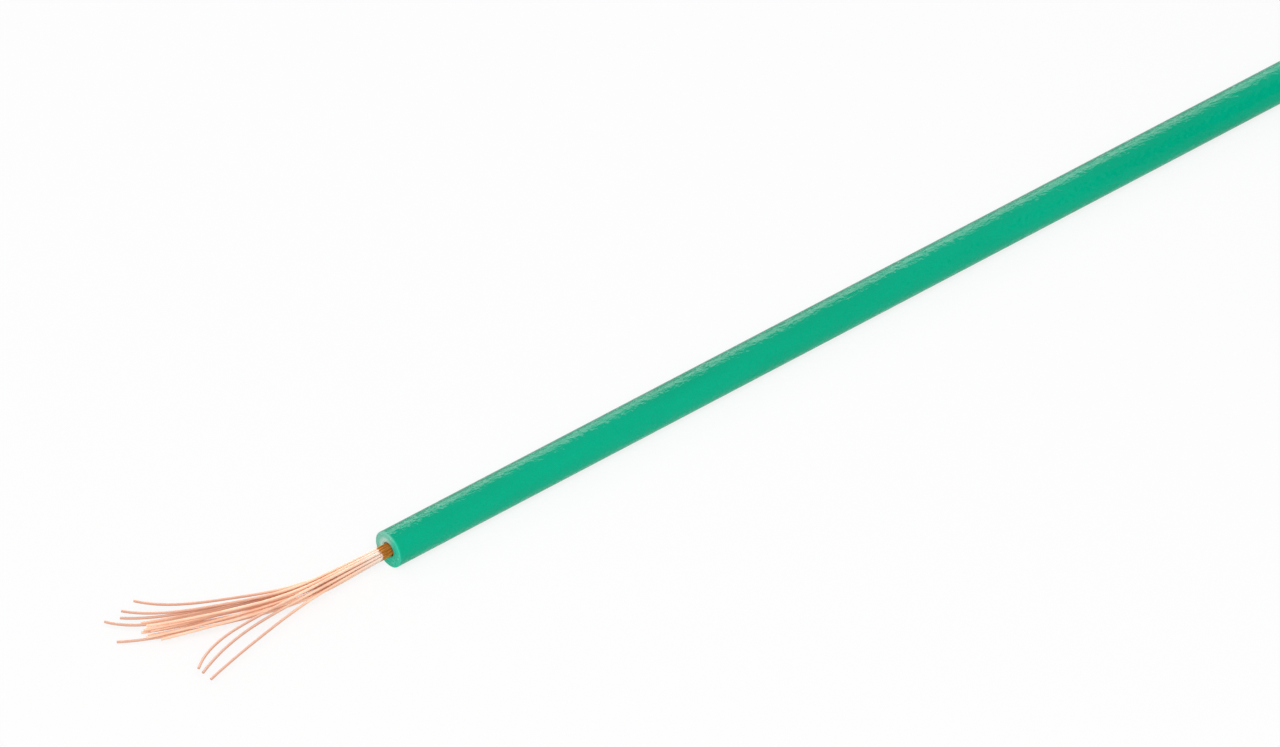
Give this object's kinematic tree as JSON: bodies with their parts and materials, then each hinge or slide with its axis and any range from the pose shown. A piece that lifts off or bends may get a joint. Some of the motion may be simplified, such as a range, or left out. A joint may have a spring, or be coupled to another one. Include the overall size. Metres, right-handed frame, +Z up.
{
  "type": "wire spool",
  "caption": "Small snap-together spool of green stranded hook-up wire; the free end lies straight and is stripped, its bare copper strands fanned out",
  "frame": {"origin": "centre of the spool's bore at the bottom of its lower rim, on the surface that the spool lies on", "axes": "+Z up along the spool's bore; the free wire leaves the winding along -X and lies parallel to X on the +Y side; the stripped end is its far end in -X"},
  "size_m": [0.1201, 0.06, 0.02],
  "materials": {
    "spool_black": "fine moulded texture, dark charcoal",
    "insulation_green": "satin extruded PVC, sea green",
    "copper": null
  },
  "bodies": {
    "root": {"hub": "spool_black", "flange_lower": "spool_black", "flange_upper": "spool_black", "winding_core": "insulation_green", "winding_outer_layer": "insulation_green", "start_tail_jacket": "insulation_green", "start_tail_strands": "copper", "free_jacket": "insulation_green", "conductor_bundle": "copper", "strand_01": "copper", "strand_02": "copper", "strand_03": "copper", "strand_04": "copper", "strand_05": "copper", "strand_06": "copper", "strand_07": "copper", "strand_08": "copper", "strand_09": "copper", "strand_10": "copper", "strand_11": "copper", "strand_12": "copper", "strand_13": "copper", "strand_14": "copper", "strand_15": "copper", "strand_16": "copper", "strand_17": "copper", "strand_18": "copper"}
  },
  "joints": []
}
